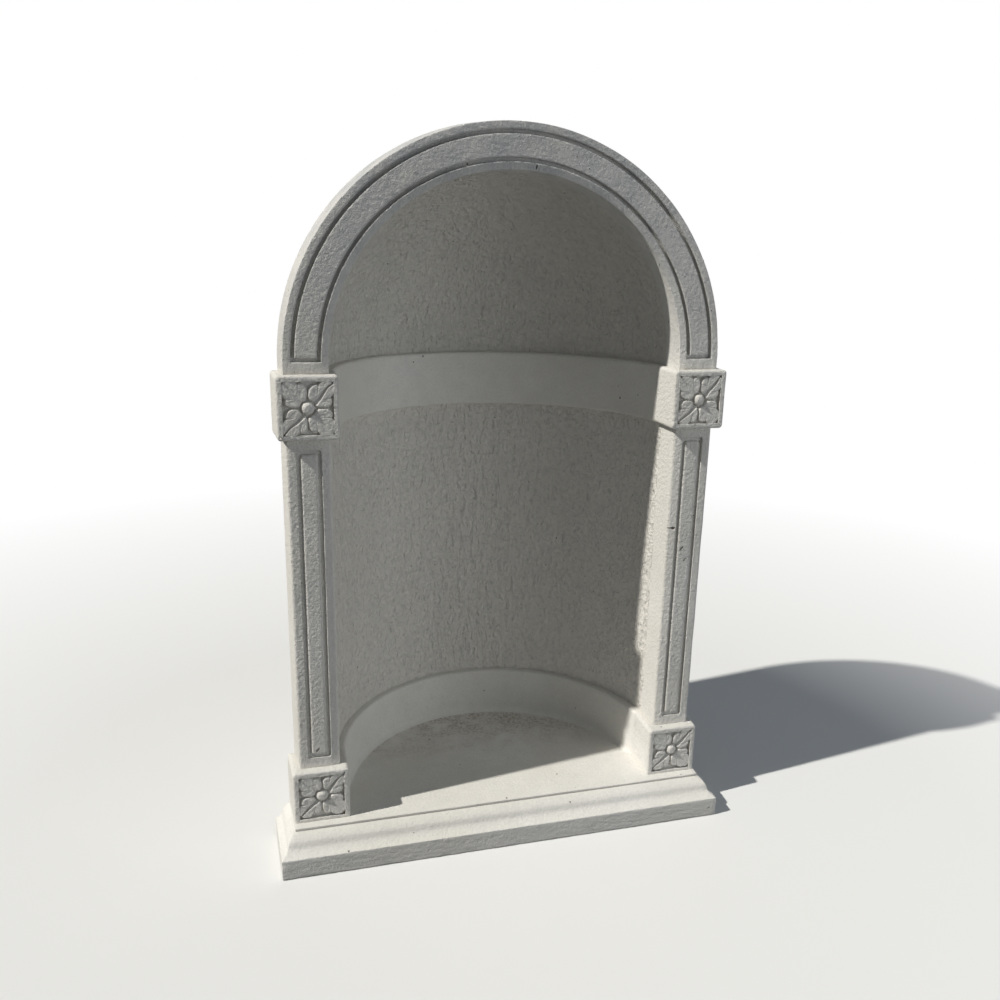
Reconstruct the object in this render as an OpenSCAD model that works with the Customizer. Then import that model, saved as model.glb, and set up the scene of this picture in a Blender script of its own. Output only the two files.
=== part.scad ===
// Free-standing statue niche in cast stone: a moulded plinth, two panelled
// shafts on square blocks, a round arch and a half-round recess with a half dome.
// The origin lies on the ground, midway between the shafts, in the plane of their faces.
// +X is to the right seen from the front, +Y is to the back.

/* [Plinth] */
// Height of the square fascia
fascia_h = 35; // [20:1:70]
// Height of the moulding above the fascia, up to the floor of the recess
moulding_h = 32; // [20:1:60]
// How far the moulding steps back at the front
moulding_front = 38; // [20:1:60]
// How far the moulding steps in at each side
moulding_side = 24; // [12:1:60]
// Height of the square fillet along the top of the moulding
fillet_h = 3.5; // [2:0.5:10]
// Step between the fillet and the ogee below it
fillet_step = 1; // [0.5:0.5:6]
// Height of the narrow quirk between the fillet and the ogee at the front
quirk_h = 2.5; // [1.5:0.5:5]
// Depth of the quirk behind the fillet
quirk_depth = 3; // [1:0.5:6]
// Floor left free in front of the base blocks
front_ledge = 16; // [4:1:60]
// Floor left free beside the base blocks
side_ledge = 0.5; // [0.5:0.5:40]

/* [Shafts] */
// Clear width between the shafts, and of the arch
opening_w = 580; // [400:1:900]
// Width of a shaft, and of the arch ring, across its face
shaft_w = 68.5; // [56:0.5:100]
// Height of a shaft between its blocks
shaft_h = 567; // [300:1:1200]
// Straight foot of the arch above the capital blocks
stilt_h = 14; // [5:1:60]
// Rounding of the front edges of the shafts and of the arch
shaft_edge_r = 4; // [1:0.5:6]
// How far each outer side is drawn out from the face to the back, to leave the mould
side_draft = 6; // [1:0.5:10]

/* [Panels] */
// Plain border between the edges of a shaft and its groove
shaft_border = 15; // [8:0.5:18]
// Plain border between the edges of the arch and its groove
arch_border = 11.5; // [8:0.5:18]
// Width of the groove round a panel
groove_w = 5.5; // [3:0.5:7]
// Depth of the groove
groove_depth = 4; // [2:0.5:10]
// Plain length between a block and the groove
panel_end = 18; // [12:1:60]
// Rounding of the corners of a panel
panel_corner_r = 2.5; // [1:0.5:6]

/* [Blocks] */
// Height of the base blocks and of the skirting in line with them
base_block_h = 93; // [70:1:140]
// Height of the capital blocks and of the band in line with them
capital_block_h = 99; // [70:1:140]
// How far a block stands in front of its shaft
block_proud = 16; // [8:1:40]
// How far a block stands into the opening past its shaft
block_inner_lap = 13.5; // [8:0.5:24]
// How far a block stands out past its shaft on the outside
block_outer_lap = 12; // [6:0.5:30]
// Rounding of the edges of the blocks, and of the courses in line with them
block_edge_r = 5; // [2:0.5:5.5]
// Width of the raised border round a block's sunk field
block_border = 6.5; // [6:0.5:10]
// Depth of the sunk field
field_depth = 7; // [4:0.5:14]

/* [Rosettes] */
// Height of the leaves above the sunk field
leaf_h = 6; // [4:0.5:12]
// Widest part of the lobe at the tip of a leaf
tip_lobe_w = 19; // [14:0.5:22]
// Widest part of the lobes at the sides of a leaf
side_lobe_w = 14; // [10:0.5:15]
// Gap between the leaf tips and the border
leaf_gap = 1; // [0.5:0.25:3]
// Depth of the groove along the middle of each leaf
vein_depth = 3; // [1:0.5:3.5]
// Radius of the domed boss
boss_r = 10.5; // [7:0.5:13]
// Height of the boss above the sunk field
boss_h = 9; // [7:0.5:13]
// Width of the channel round the boss
channel_w = 2; // [1:0.5:4]
// Depth of the channel below the leaves
channel_depth = 3; // [1:0.5:3.5]

/* [Recess] */
// Depth of the front frame from face to back
frame_depth = 56; // [40:1:100]
// How far the axis of the half-round recess lies behind the shaft faces
axis_setback = 15; // [0:1:36]
// Thickness of the wall and of the half dome
shell_t = 40; // [25:1:60]

/* [Hidden] */
$fn = 96;

// Cuts run past the faces that they open by this much
overrun = 2;

// Heights of the courses, from the ground up
floor_z = fascia_h + moulding_h;
shaft_z = floor_z + base_block_h;
capital_z = shaft_z + shaft_h;
arch_z = capital_z + capital_block_h;
springing_z = arch_z + stilt_h;

opening_r = opening_w / 2;
arch_r = opening_r + shaft_w;

// Blocks lap over the shafts, and the plinth carries the blocks
block_x = opening_r - block_inner_lap;
block_w = block_inner_lap + shaft_w + block_outer_lap;
plinth_w = 2 * (block_x + block_w + side_ledge + moulding_side);
plinth_reach = block_proud + front_ledge + moulding_front;
block_depth = block_proud + frame_depth;
plinth_depth = plinth_reach + frame_depth;

// Round courses start at the back edges of the frame's inner faces: the wall and the
// half dome behind the shafts and the arch, the skirting and the band behind the blocks
straight_depth = frame_depth - axis_setback;
wall_r = sqrt(opening_r * opening_r + straight_depth * straight_depth);
band_r = sqrt(block_x * block_x + straight_depth * straight_depth);
shell_r = wall_r + shell_t;

// The recess is built of three equal segments of its half circle
segment_angle = 180 / 3;
right_turn = 0;
back_turn = segment_angle;
left_turn = 2 * segment_angle;

// The ogee is part straight slope and part S curve
ogee_h = moulding_h - fillet_h - quirk_h;
ogee_slope_share = 0.35;
ogee_steps = 16;

// Directions of the lobes of one leaf, as shares of the quarter turn it fills
lobe_shares = [0.23, 0.5, 0.77];
// Where a lobe starts, as a share of the boss radius
lobe_root_share = 0.3;
// Length of the side lobes, as a share of the reach to the border
side_lobe_share = 0.97;

stone = [0.86, 0.84, 0.79];
carved_stone = [0.83, 0.81, 0.76];
wall_stone = [0.78, 0.75, 0.69];

// The right-hand piece, or its mirror image on the left
module on_side(side) {
  mirror([side == "left" ? 1 : 0, 0, 0]) children();
}

// What a piece along the right side and its mirror image on the left have in common, with the
// side turned outwards by an angle about its front corner
module for_both_sides(x, y, angle) {
  intersection() {
    translate([x, y, 0]) rotate([0, 0, -angle]) children();
    mirror([1, 0, 0]) translate([x, y, 0]) rotate([0, 0, -angle]) children();
  }
}

// Upright prism of a plan outline between two heights
module course(low, height) {
  translate([0, 0, low]) linear_extrude(height) children();
}

// Rounded back of the plinth in plan, behind the front frame
module rear_plan() {
  intersection() {
    translate([0, axis_setback]) circle(shell_r);
    translate([-shell_r, frame_depth]) square([2 * shell_r, shell_r]);
  }
}

// Angle of an outer side that is drawn out over a depth
function slant(depth) = atan(side_draft / depth);

// Plan of a right-hand frame piece, from its face to its back: round front corners, the inner
// side square and the outer side drawn out
module frame_plan(width, depth, edge_r) {
  angle = slant(depth);
  turn_x = width - edge_r * (1 - sin(angle)) / cos(angle);
  edged_square([turn_x, depth], edge_r, [0, 0], [edge_r, edge_r]);
  translate([turn_x, edge_r]) circle(edge_r);
  polygon([
    [turn_x, edge_r],
    [turn_x + edge_r * cos(angle), edge_r - edge_r * sin(angle)],
    [width + side_draft, depth],
    [turn_x, depth]
  ]);
}

// Right-hand frame piece: an upright block with its inner face on the opening and round front edges
module frame_block(inner, width, proud, low, height, edge_r) {
  translate([inner, -proud, low]) linear_extrude(height)
    frame_plan(width, proud + frame_depth, edge_r);
}

// Face outline on the right-hand side, given as x and height, cut into a front face
module cut_face(face_y, depth) {
  translate([0, face_y + depth, 0]) rotate([90, 0, 0]) linear_extrude(depth + overrun) children();
}

// Rectangle with round corners, from its low corner
module round_square(size, corner_r) {
  for (dx = [corner_r, size.x - corner_r], dy = [corner_r, size.y - corner_r])
    translate([dx, dy]) circle(corner_r);
  translate([corner_r, 0]) square([size.x - 2 * corner_r, size.y]);
  translate([0, corner_r]) square([size.x, size.y - 2 * corner_r]);
}

// Rectangle trimmed from a round-cornered one that runs on past its low and high edges
module edged_square(size, corner_r, low_past, high_past) {
  intersection() {
    translate(-low_past) round_square(size + low_past + high_past, corner_r);
    square(size);
  }
}

// S curve of two quarter circles over a unit run and a unit rise
function cyma(t) = t < 0.5 ? (1 - sqrt(1 - 4 * t * t)) / 2
                           : (1 + sqrt(1 - 4 * (1 - t) * (1 - t))) / 2;

// Ogee outline: run inwards and rise, from the fascia's edge past the quirk to the top of the fillet
function ogee_points(run, quirk) = [
  for (i = [0 : ogee_steps])
    let (t = i / ogee_steps)
    [(run - fillet_step) * t, ogee_h * (ogee_slope_share * t + (1 - ogee_slope_share) * cyma(t))],
  [run + quirk, ogee_h],
  [run + quirk, ogee_h + quirk_h],
  [run, ogee_h + quirk_h],
  [run, moulding_h]
];

module plinth_slab() {
  color(stone) course(0, fascia_h) {
    polygon([
      [-plinth_w / 2, -plinth_reach],
      [plinth_w / 2, -plinth_reach],
      [plinth_w / 2 + side_draft, frame_depth],
      [-plinth_w / 2 - side_draft, frame_depth]
    ]);
    rear_plan();
  }
}

// The front run and the side runs of the ogee meet in mitres, and the quirk runs out at both ends
module plinth_moulding() {
  front = [for (p = ogee_points(moulding_front, quirk_depth)) [p.x - plinth_reach, p.y]];
  side = [for (p = ogee_points(moulding_side, 0)) [-p.x, p.y]];
  color(stone) translate([0, 0, fascia_h]) intersection() {
    translate([-plinth_w, 0, 0]) rotate([90, 0, 90]) linear_extrude(2 * plinth_w)
      polygon(concat(front, [[frame_depth, moulding_h], [frame_depth, 0]]));
    for_both_sides(plinth_w / 2, -plinth_reach, slant(plinth_depth))
      translate([0, 2 * plinth_depth, 0]) rotate([90, 0, 0]) linear_extrude(3 * plinth_depth)
        polygon(concat(side, [[-2 * plinth_w, moulding_h], [-2 * plinth_w, 0]]));
  }
}

module niche_floor() {
  color(wall_stone) course(fascia_h, moulding_h) rear_plan();
}

// Square block with round edges and a sunk field in its face. Edges that run on past its foot
// leave the foot square.
module block(side, low, height, foot_past) {
  reach = block_w + 2 * side_draft;
  color(stone) on_side(side) difference() {
    intersection() {
      frame_block(block_x, block_w, block_proud, low, height, block_edge_r);
      translate([block_x, frame_depth, low]) rotate([90, 0, 0]) linear_extrude(block_depth)
        edged_square([reach, height], block_edge_r, [0, foot_past], [block_edge_r, 0]);
      translate([block_x + block_w, -block_proud, low]) rotate([0, 0, -slant(block_depth)])
        translate([-reach, 2 * block_depth, 0]) rotate([90, 0, 0]) linear_extrude(3 * block_depth)
          edged_square([reach, height], block_edge_r, [block_edge_r, foot_past], [0, 0]);
      translate([block_x, -block_proud, low]) rotate([90, 0, 90]) linear_extrude(reach)
        edged_square([block_depth, height], block_edge_r, [0, foot_past], [block_edge_r, 0]);
    }
    cut_face(-block_proud, field_depth)
      translate([block_x + block_border, low + block_border])
        square([block_w - 2 * block_border, height - 2 * block_border]);
  }
}

// Pointed lobe along +X: the lens where two circles cross
module lobe_outline(start, end, width) {
  length = end - start;
  arc_r = (length * length + width * width) / (4 * width);
  intersection_for (s = [-1, 1])
    translate([start + length / 2, s * (arc_r - width / 2)]) circle(arc_r);
}

// Four leaves that fill the field, one to each corner, round a domed boss
module rosette(side, low, height) {
  half = [block_w / 2 - block_border - leaf_gap, height / 2 - block_border - leaf_gap];
  middle = [block_x + block_w / 2, -block_proud + field_depth, low + height / 2];
  corner_angle = atan2(half.y, half.x);
  vein_side = vein_depth * sqrt(2);
  dome_r = (boss_r * boss_r + boss_h * boss_h) / (2 * boss_h);
  color(carved_stone) on_side(side) translate(middle) rotate([90, 0, 0]) {
    difference() {
      linear_extrude(leaf_h)
        for (mx = [0, 1], my = [0, 1], share = lobe_shares)
          let (a = share < 0.5 ? 2 * share * corner_angle
                               : corner_angle + (2 * share - 1) * (90 - corner_angle),
               reach = min(half.x / cos(a), half.y / sin(a)))
          mirror([mx, 0]) mirror([0, my]) rotate(a)
            lobe_outline(boss_r * lobe_root_share, share == 0.5 ? reach : reach * side_lobe_share,
                         share == 0.5 ? tip_lobe_w : side_lobe_w);
      for (a = [corner_angle, 180 - corner_angle])
        translate([0, 0, leaf_h]) rotate([0, 0, a]) rotate([45, 0, 0])
          cube([3 * norm(half), vein_side, vein_side], center = true);
      translate([0, 0, leaf_h - channel_depth])
        cylinder(h = channel_depth + overrun, r = boss_r + channel_w);
    }
    intersection() {
      translate([0, 0, boss_h - dome_r]) sphere(dome_r);
      cylinder(h = boss_h + overrun, r = boss_r);
    }
  }
}

// Panelled shaft: a groove leaves a flush panel inside a plain border
module shaft(side) {
  outer = [shaft_w - 2 * shaft_border, shaft_h - 2 * panel_end];
  color(stone) on_side(side) difference() {
    frame_block(opening_r, shaft_w, 0, shaft_z, shaft_h, shaft_edge_r);
    cut_face(0, groove_depth) translate([opening_r + shaft_border, shaft_z + panel_end]) difference() {
      round_square(outer, panel_corner_r + groove_w);
      translate([groove_w, groove_w])
        round_square(outer - [2 * groove_w, 2 * groove_w], panel_corner_r);
    }
  }
}

// Upper part of a ring in the arch's face, down to a height over the springing
module ring_outline(low_r, high_r, end) {
  intersection() {
    difference() {
      circle(high_r);
      circle(low_r);
    }
    translate([-high_r, end]) square([2 * high_r, high_r]);
  }
}

// Half ring on straight feet
module arch() {
  groove_low_r = opening_r + arch_border;
  groove_high_r = arch_r - arch_border;
  groove_end = panel_end - stilt_h;
  color(stone) difference() {
    union() {
      translate([0, frame_depth, springing_z]) rotate([90, 0, 0]) rotate_extrude(angle = 180)
        translate([opening_r, frame_depth]) mirror([0, 1])
          frame_plan(shaft_w, frame_depth, shaft_edge_r);
      for (side = ["left", "right"])
        on_side(side) frame_block(opening_r, shaft_w, 0, arch_z, stilt_h, shaft_edge_r);
    }
    translate([0, 0, springing_z]) cut_face(0, groove_depth) difference() {
      ring_outline(groove_low_r, groove_high_r, groove_end);
      ring_outline(groove_low_r + groove_w, groove_high_r - groove_w, groove_end + groove_w);
    }
  }
}

// One segment of a round course, cut off square at the back of the front frame
module segment(turn) {
  intersection() {
    translate([0, axis_setback, 0]) rotate([0, 0, turn])
      rotate_extrude(angle = segment_angle) children();
    translate([-arch_r, frame_depth, 0]) cube([2 * arch_r, arch_r, springing_z + arch_r]);
  }
}

module skirting(turn) {
  color(stone) segment(turn)
    translate([band_r, floor_z])
      edged_square([shell_r - band_r, base_block_h], block_edge_r, [0, block_edge_r], [block_edge_r, 0]);
}

module wall(turn) {
  color(wall_stone) segment(turn)
    translate([wall_r, shaft_z]) square([shell_t, shaft_h]);
}

module band(turn) {
  color(stone) segment(turn)
    translate([band_r, capital_z])
      edged_square([shell_r - band_r, capital_block_h], block_edge_r, [0, 0], [block_edge_r, 0]);
}

// Gore of the half dome, with a short upright foot on the band
module conch(turn) {
  color(wall_stone) segment(turn) {
    translate([wall_r, arch_z]) square([shell_t, stilt_h]);
    translate([0, springing_z]) intersection() {
      difference() {
        circle(shell_r);
        circle(wall_r);
      }
      square([shell_r, shell_r]);
    }
  }
}

plinth_slab();
plinth_moulding();
niche_floor();
block("left", floor_z, base_block_h, block_edge_r);  // left_base_block
block("right", floor_z, base_block_h, block_edge_r);  // right_base_block
rosette("left", floor_z, base_block_h);  // left_base_rosette
rosette("right", floor_z, base_block_h);  // right_base_rosette
shaft("left");  // left_shaft
shaft("right");  // right_shaft
block("left", capital_z, capital_block_h, 0);  // left_capital_block
block("right", capital_z, capital_block_h, 0);  // right_capital_block
rosette("left", capital_z, capital_block_h);  // left_capital_rosette
rosette("right", capital_z, capital_block_h);  // right_capital_rosette
arch();
skirting(right_turn);  // skirting_right
skirting(back_turn);  // skirting_back
skirting(left_turn);  // skirting_left
wall(right_turn);  // wall_right
wall(back_turn);  // wall_back
wall(left_turn);  // wall_left
band(right_turn);  // band_right
band(back_turn);  // band_back
band(left_turn);  // band_left
conch(right_turn);  // conch_right
conch(back_turn);  // conch_back
conch(left_turn);  // conch_left
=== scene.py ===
import math

import bmesh
import bpy
from mathutils import Matrix, Vector
from mathutils.noise import noise_vector, seed_set


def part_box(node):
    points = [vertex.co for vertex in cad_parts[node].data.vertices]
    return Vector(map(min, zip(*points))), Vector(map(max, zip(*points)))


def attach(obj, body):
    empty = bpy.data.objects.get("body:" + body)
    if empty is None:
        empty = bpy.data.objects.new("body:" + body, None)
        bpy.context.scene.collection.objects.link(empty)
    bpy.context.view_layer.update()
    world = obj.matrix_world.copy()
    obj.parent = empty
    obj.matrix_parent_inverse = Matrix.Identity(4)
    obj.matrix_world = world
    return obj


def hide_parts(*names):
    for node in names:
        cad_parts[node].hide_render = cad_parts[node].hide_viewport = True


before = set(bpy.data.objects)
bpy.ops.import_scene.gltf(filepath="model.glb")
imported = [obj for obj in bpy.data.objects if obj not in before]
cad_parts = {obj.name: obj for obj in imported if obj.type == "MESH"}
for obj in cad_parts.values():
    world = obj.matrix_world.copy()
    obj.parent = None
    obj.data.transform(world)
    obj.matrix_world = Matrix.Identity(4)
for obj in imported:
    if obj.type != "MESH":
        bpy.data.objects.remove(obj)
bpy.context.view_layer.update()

# Plinth
# A moulded base course of cream cast stone, cast face down in one mould with the square
# fascia below and the ogee above it, and struck off flat on top where the niche stands.
SIDE_DRAFT = 0.006
FASCIA_ROUND = 0.0025
MOULDING_ROUND = 0.0010
FILLET_HEIGHT = 0.0035
FILLET_STEP = 0.001
QUIRK_HEIGHT = 0.0016
QUIRK_DEPTH = 0.0011
QUIRK_SLOPE_SHARE = 0.1
LEDGE_FRONT = 0.016
LEDGE_SIDE = 0.0005
OGEE_STEPS = 24
OGEE_SLOPE_SHARE = 0.35
SAND_CUTS = 0.0024
SAND_SIZE = 0.0033
SAND_RISE = 0.0017
SAND_LAYER = 0.0004
CASTING_WAVE = 0.10
CASTING_WAVE_RISE = 0.0014
CHIP_WAVE = 0.003
CHIP_WAVE_RISE = 0.0012
TOUCH = 1e-5
NEAR = 0.001
ALIGNED = 0.99
LONG_EDGE = 1.5
STONE_CREAM = (0.78, 0.755, 0.695)
STONE_PALE = (0.83, 0.81, 0.765)
STONE_GREY = (0.64, 0.63, 0.60)
GRAIN_GREY = (0.46, 0.455, 0.44)
# Brown for the dirt and painted shade in corners and crevices
STONE_DIRT_AND_SHADE = (0.30, 0.26, 0.20)
PORE_DARK = (0.10, 0.095, 0.085)
STONE_SHEEN = 0.15
STONE_ROUGHNESS = 0.9
CLOUD_SIZE = 0.16
BLOTCH_SIZE = 0.030
BLOTCH_TINT = 0.30
SAND_GRAIN_SIZE = 0.0022
SAND_GRAIN_TINT = 0.42
SAND_GRAIN_SHARE = 0.4
GRAIN_SIZE = 0.0056
GRAIN_TINT = 70
PORE_CELL = 0.019
PORE_SHARE = 0.16
PORE_SMALL, PORE_LARGE = 0.05, 0.10
PORE_TINT = 0.85
PORE_DEPTH = 0.0015
CREVICE_REACH = 0.008


def begin(name):
    """Name the primitive just added, settle its place into its mesh and open it for editing."""
    piece = bpy.context.active_object
    piece.name = piece.data.name = name
    bpy.ops.object.transform_apply(location=True, rotation=True, scale=True)
    bpy.ops.object.mode_set(mode="EDIT")
    return piece


def box_between(name, low, high):
    """A block from its low corner to its high corner, open for editing."""
    bpy.ops.object.select_all(action="DESELECT")
    middle = [(a + b) / 2 for a, b in zip(low, high)]
    size = [b - a for a, b in zip(low, high)]
    bpy.ops.mesh.primitive_cube_add(size=1, location=middle, scale=size)
    return begin(name)


def pick(kind, test):
    """Select the corners, edges or faces of the open piece that pass a test on place and normal."""
    bpy.ops.mesh.select_mode(type=kind)
    bpy.ops.mesh.select_all(action="DESELECT")
    mesh = bpy.context.edit_object.data
    shape = bmesh.from_edit_mesh(mesh)
    parts = {"VERT": shape.verts, "EDGE": shape.edges, "FACE": shape.faces}[kind]
    for part in parts:
        corners = [part.co] if kind == "VERT" else [v.co for v in part.verts]
        normal = part.normal if kind == "FACE" else None
        if test(corners, normal):
            part.select_set(True)
    shape.select_flush_mode()
    bmesh.update_edit_mesh(mesh)


def faces_towards(direction, test=lambda corners: True):
    """Select the faces that look along a direction and whose corners pass a test."""
    aim = Vector(direction)
    pick("FACE", lambda corners, normal: normal.dot(aim) > ALIGNED and test(corners))


def sharp_edges(test=lambda corners: True, degrees=25):
    """Select the edges that are bent by more than an angle and whose ends pass a test."""
    bpy.ops.mesh.select_mode(type="EDGE")
    bpy.ops.mesh.select_all(action="DESELECT")
    bpy.ops.mesh.edges_select_sharp(sharpness=math.radians(degrees))
    mesh = bpy.context.edit_object.data
    shape = bmesh.from_edit_mesh(mesh)
    for edge in shape.edges:
        if edge.select and not test([v.co for v in edge.verts]):
            edge.select_set(False)
    shape.select_flush_mode()
    bmesh.update_edit_mesh(mesh)


def round_over(width, segments=3):
    """Round the selected edges, as a worn mould edge."""
    bpy.ops.mesh.bevel(offset=width, segments=segments, affect="EDGES", clamp_overlap=True)


def draw_out(side, face_x):
    """Draw an outer side of the open piece out towards its back, so that it leaves the mould."""
    pick("VERT", lambda corner, _: corner[0].y > frame_back - TOUCH
         and side * corner[0].x > face_x - TOUCH)
    bpy.ops.transform.translate(value=(side * SIDE_DRAFT, 0, 0))


def cross_cuts(axis, spacing):
    """Cut the open piece across its long edges, so that its faces can be worked."""
    unit = Vector([float(i == axis) for i in range(3)])
    lengths = []

    def along(corners, _):
        run = corners[1] - corners[0]
        fits = run.length > LONG_EDGE * spacing and abs(run.normalized().dot(unit)) > ALIGNED
        if fits:
            lengths.append(run.length)
        return fits

    pick("EDGE", along)
    if lengths:
        bpy.ops.mesh.subdivide(number_cuts=max(1, round(max(lengths) / spacing) - 1))


def close(piece, degrees=32):
    """Leave edit mode with the faces turned out and the shading smooth within an angle."""
    bpy.ops.mesh.select_all(action="SELECT")
    bpy.ops.mesh.normals_make_consistent(inside=False)
    bpy.ops.object.mode_set(mode="OBJECT")
    bpy.ops.object.shade_smooth_by_angle(angle=math.radians(degrees))
    return piece


def group_where(piece, name, test):
    """Group the corners of a piece that pass a test on their place."""
    group = piece.vertex_groups.new(name=name)
    group.add([v.index for v in piece.data.vertices if test(v.co)], 1.0, "REPLACE")
    return group.name


def uneven(piece, wave, rise, group=""):
    """Press waves of one length and rise into a cast piece, or into a group of its corners."""
    clouds = bpy.data.textures.new(piece.name + "_uneven", "CLOUDS")
    clouds.noise_scale = wave
    clouds.noise_depth = 2
    press = piece.modifiers.new("uneven", "DISPLACE")
    press.texture = clouds
    press.texture_coords = "LOCAL"
    press.strength = rise
    press.mid_level = 0.5
    press.vertex_group = group
    bpy.context.view_layer.objects.active = piece
    bpy.ops.object.modifier_apply(modifier=press.name)


def sand_face(piece, level):
    """Press sand grain into the face of a piece that looks forward at a level."""
    uneven(piece, SAND_SIZE, SAND_RISE, group_where(piece, "sand", lambda p: p.y < level + SAND_LAYER))


def chip(piece, place, size, slant=0.0):
    """Knock a small uneven chip out of a finished piece."""
    bpy.ops.object.select_all(action="DESELECT")
    bpy.ops.mesh.primitive_ico_sphere_add(subdivisions=3, radius=0.5, location=place,
                                          rotation=(0, slant, 0))
    bpy.context.active_object.scale = size
    cutter = close(begin(piece.name + "_chip"), degrees=60)
    uneven(cutter, CHIP_WAVE, CHIP_WAVE_RISE)
    cut = piece.modifiers.new("chip", "BOOLEAN")
    cut.operation = "DIFFERENCE"
    cut.object = cutter
    bpy.context.view_layer.objects.active = piece
    bpy.ops.object.modifier_apply(modifier=cut.name)
    bpy.data.objects.remove(cutter)
    piece.select_set(True)
    bpy.ops.object.shade_smooth_by_angle(angle=math.radians(40))


def stone_nodes(name):
    """An empty stone material: its node tree, its shader and its Object coordinates."""
    finish = bpy.data.materials.new(name)
    finish.use_nodes = True
    tree = finish.node_tree
    shader = tree.nodes["Principled BSDF"]
    shader.inputs["Specular IOR Level"].default_value = STONE_SHEEN
    place = tree.nodes.new("ShaderNodeTexCoord").outputs["Object"]
    return finish, tree, shader, place


def noise(tree, place, size, detail=3.0, rough=0.55, stretch=(1, 1, 1), turn=(0, 0, 0), twist=0.0):
    """Noise with features of about one size in metres."""
    mapping = tree.nodes.new("ShaderNodeMapping")
    mapping.inputs["Rotation"].default_value = turn
    mapping.inputs["Scale"].default_value = stretch
    tree.links.new(place, mapping.inputs["Vector"])
    node = tree.nodes.new("ShaderNodeTexNoise")
    node.inputs["Scale"].default_value = 1 / size
    node.inputs["Detail"].default_value = detail
    node.inputs["Roughness"].default_value = rough
    node.inputs["Distortion"].default_value = twist
    tree.links.new(mapping.outputs["Vector"], node.inputs["Vector"])
    return node.outputs["Fac"]


def between(tree, value, low, high, bottom=0.0, top=1.0):
    """Spread a value from one range to another, held at its ends."""
    node = tree.nodes.new("ShaderNodeMapRange")
    node.inputs["From Min"].default_value = low
    node.inputs["From Max"].default_value = high
    node.inputs["To Min"].default_value = bottom
    node.inputs["To Max"].default_value = top
    tree.links.new(value, node.inputs["Value"])
    return node.outputs["Result"]


def times(tree, one, other, kind="MULTIPLY"):
    """Two values, or a value and a number, put together."""
    node = tree.nodes.new("ShaderNodeMath")
    node.operation = kind
    tree.links.new(one, node.inputs[0])
    if isinstance(other, (int, float)):
        node.inputs[1].default_value = other
    else:
        tree.links.new(other, node.inputs[1])
    return node.outputs["Value"]


def tint(tree, share, under, over):
    """Colour over colour by a share. Each is a colour or another node's output."""
    node = tree.nodes.new("ShaderNodeMix")
    node.data_type = "RGBA"
    tree.links.new(share, node.inputs["Factor"])
    for socket, colour in (("A", under), ("B", over)):
        entry = [i for i in node.inputs if i.name == socket and i.type == "RGBA"][0]
        if isinstance(colour, tuple):
            entry.default_value = (*colour, 1)
        else:
            tree.links.new(colour, entry)
    return [o for o in node.outputs if o.type == "RGBA"][0]


def pores(tree, place, size, share, seed):
    """Round casting pores: 1 in a pore and 0 outside."""
    cells = tree.nodes.new("ShaderNodeTexVoronoi")
    cells.inputs["Scale"].default_value = 1 / size
    shifted = tree.nodes.new("ShaderNodeMapping")
    shifted.inputs["Location"].default_value = (seed, 2 * seed, 3 * seed)
    tree.links.new(place, shifted.inputs["Vector"])
    tree.links.new(shifted.outputs["Vector"], cells.inputs["Vector"])
    chosen = tree.nodes.new("ShaderNodeSeparateColor")
    tree.links.new(cells.outputs["Color"], chosen.inputs["Color"])
    there = between(tree, chosen.outputs["Red"], share + 0.01, share)
    spread = between(tree, chosen.outputs["Green"], 0, 1, PORE_SMALL, PORE_LARGE)
    inside = times(tree, cells.outputs["Distance"], spread, "DIVIDE")
    return times(tree, between(tree, inside, 1.0, 0.7), there)


def bump(tree, shader, layers):
    """Raise the surface by layers of (value, height in metres)."""
    normal = None
    for value, height in layers:
        node = tree.nodes.new("ShaderNodeBump")
        node.inputs["Distance"].default_value = height
        tree.links.new(value, node.inputs["Height"])
        if normal is not None:
            tree.links.new(normal, node.inputs["Normal"])
        normal = node.outputs["Normal"]
    tree.links.new(normal, shader.inputs["Normal"])


def crevice_dirt_and_shade(tree, reach):
    """1 deep in the corners of the piece and 0 on its open faces, as the mask of dirt and painted shade.
    """
    node = tree.nodes.new("ShaderNodeAmbientOcclusion")
    node.inputs["Distance"].default_value = reach
    node.samples = 8
    return between(tree, node.outputs["AO"], 0.75, 0.25)


def share_along(tree, place, axis, low, high):
    """0 below a place along an axis and 1 above another."""
    parts = tree.nodes.new("ShaderNodeSeparateXYZ")
    tree.links.new(place, parts.inputs["Vector"])
    return between(tree, parts.outputs[axis], low, high)


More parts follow.
